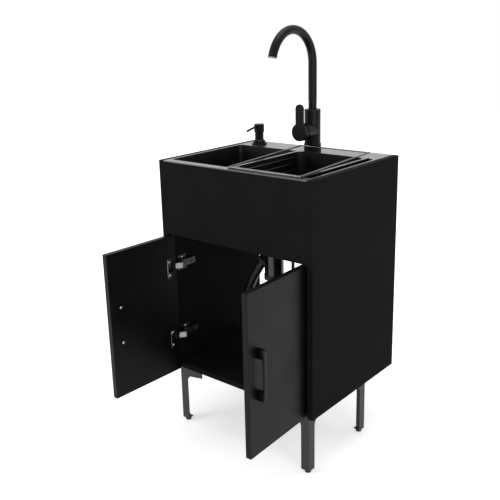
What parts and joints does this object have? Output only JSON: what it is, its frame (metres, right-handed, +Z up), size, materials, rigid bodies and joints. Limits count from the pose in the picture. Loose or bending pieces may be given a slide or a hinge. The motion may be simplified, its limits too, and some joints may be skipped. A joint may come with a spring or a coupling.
{
  "type": "vanity unit",
  "caption": "Free-standing black sink cabinet on angle legs with drop-in bowl, mixer, soap pump, draining basket and inset doors on concealed hinges.",
  "frame": {"origin": "on the floor, in the middle of the unit's outline with both doors open", "axes": "+Z up, the doors face -Y, +X to the viewer's right"},
  "size_m": [0.6144, 0.7446, 1.3385],
  "materials": {
    "black_board": "black lacquered board, satin",
    "black_metal": "black powder coat",
    "sink_black": "black coated stainless steel",
    "bright_steel": "zinc plated steel",
    "steel": "stainless steel",
    "brass": "turned brass",
    "black_plastic": "moulded plastic",
    "white_plastic": "moulded plastic",
    "black_rubber": "moulded rubber",
    "beech": "turned dowel"
  },
  "bodies": {
    "cabinet": {"left_side_panel": "black_board", "right_side_panel": "black_board", "bottom_panel": "black_board", "front_apron": "black_board", "rear_rail": "black_board", "assembly_dowels": "beech", "wood_screws": "bright_steel", "front_legs": "black_metal", "rear_legs": "black_metal", "sink": "sink_black", "sink_clips": "bright_steel", "overflow_grille": "sink_black", "overflow_pipe": "black_plastic", "strainer_body": "sink_black", "strainer_gasket": "black_rubber", "strainer_nut": "black_plastic", "trap_nut": "black_plastic", "trap_bottle": "black_plastic", "trap_cup": "black_plastic", "hose_nut": "black_plastic", "drain_hose": "black_plastic", "hose_cuff": "black_rubber", "mixer_base": "black_metal", "mixer_body": "black_metal", "mixer_cartridge": "white_plastic", "mixer_shank": "brass", "mixer_nut": "brass", "supply_tails": "bright_steel", "supply_hose_hot": "black_rubber", "supply_hose_cold": "black_rubber", "supply_nuts": "bright_steel", "dispenser_collar": "black_metal", "dispenser_nut": "black_plastic", "dispenser_bottle": "white_plastic", "dispenser_spring": "bright_steel", "hinge_arms": "bright_steel", "hinge_plates": "bright_steel"},
    "left_door": {"left_door": "black_board", "left_handle": "black_metal", "left_door_screws": "bright_steel", "left_hinge_cups": "bright_steel"},
    "right_door": {"right_door": "black_board", "right_handle": "black_metal", "right_door_screws": "bright_steel", "right_hinge_cups": "bright_steel"},
    "left_links": {"left_hinge_links": "white_plastic"},
    "right_links": {"right_hinge_links": "white_plastic"},
    "spout": {"mixer_spout": "black_metal", "aerator": "steel"},
    "rotor": {"lever_rotor": "black_plastic"},
    "lever": {"lever_handle": "black_metal"},
    "plunger": {"dispenser_plunger": "steel"},
    "pump_head": {"dispenser_head": "black_metal"},
    "basket": {"drain_basket": "sink_black", "basket_frame": "black_metal"},
    "strainer": {"strainer_basket": "steel"},
    "foot_front_left": {"front_left_foot": "black_plastic"},
    "foot_front_right": {"front_right_foot": "black_plastic"},
    "foot_rear_left": {"rear_left_foot": "black_plastic"},
    "foot_rear_right": {"rear_right_foot": "black_plastic"}
  },
  "joints": [
    {"name": "left_door_hinge", "type": "hinge", "parent": "cabinet", "child": "left_door", "pos_m": [-0.272, -0.10071, 0.455], "axis": [0, 0, 1], "range_deg": [-8, 92]},
    {"name": "right_door_hinge", "type": "hinge", "parent": "cabinet", "child": "right_door", "pos_m": [0.272, -0.10071, 0.455], "axis": [0, 0, -1], "range_deg": [-8, 92]},
    {"name": "left_hinge_link", "type": "hinge", "parent": "cabinet", "child": "left_links", "pos_m": [-0.251, -0.07271, 0.455], "axis": [0, 0, 1], "range_deg": [-69, 6]},
    {"name": "right_hinge_link", "type": "hinge", "parent": "cabinet", "child": "right_links", "pos_m": [0.251, -0.07271, 0.455], "axis": [0, 0, -1], "range_deg": [-69, 6]},
    {"name": "spout_swivel", "type": "hinge", "parent": "cabinet", "child": "spout", "pos_m": [0.011, 0.30929, 1.069], "axis": [0, 0, 1], "continuous": true},
    {"name": "lever_turn", "type": "hinge", "parent": "cabinet", "child": "rotor", "pos_m": [0.011, 0.26429, 1], "axis": [0, -1, 0], "range_deg": [-45, 45]},
    {"name": "lever_lift", "type": "hinge", "parent": "rotor", "child": "lever", "pos_m": [0.011, 0.26429, 1], "axis": [1, 0, 0], "range_deg": [0, 15]},
    {"name": "pump_press", "type": "slide", "parent": "cabinet", "child": "plunger", "axis": [0, 0, 1], "range_m": [-0.012, 0], "stiffness_N_per_m": 300, "springref_m": 0.01, "deforming": ["dispenser_spring"]},
    {"name": "nozzle_swivel", "type": "hinge", "parent": "plunger", "child": "pump_head", "pos_m": [-0.22, 0.31129, 0.992], "axis": [0, 0, 1], "continuous": true},
    {"name": "basket_slide", "type": "slide", "parent": "cabinet", "child": "basket", "axis": [1, 0, 0], "range_m": [-0.25, 0.018]},
    {"name": "strainer_lift", "type": "slide", "parent": "cabinet", "child": "strainer", "axis": [0, 0, 1], "range_m": [0, 0.06]},
    {"name": "front_left_foot_turn", "type": "hinge", "parent": "cabinet", "child": "foot_front_left", "pos_m": [-0.259, -0.06971, 0.01], "axis": [0, 0, 1], "continuous": true},
    {"name": "front_right_foot_turn", "type": "hinge", "parent": "cabinet", "child": "foot_front_right", "pos_m": [0.259, -0.06971, 0.01], "axis": [0, 0, 1], "continuous": true},
    {"name": "rear_left_foot_turn", "type": "hinge", "parent": "cabinet", "child": "foot_rear_left", "pos_m": [-0.259, 0.22829, 0.01], "axis": [0, 0, 1], "continuous": true},
    {"name": "rear_right_foot_turn", "type": "hinge", "parent": "cabinet", "child": "foot_rear_right", "pos_m": [0.259, 0.22829, 0.01], "axis": [0, 0, 1], "continuous": true}
  ],
  "couplings": [
    {"joint": "left_hinge_link", "follows": "left_door_hinge", "ratio": -0.75},
    {"joint": "right_hinge_link", "follows": "right_door_hinge", "ratio": -0.75}
  ]
}
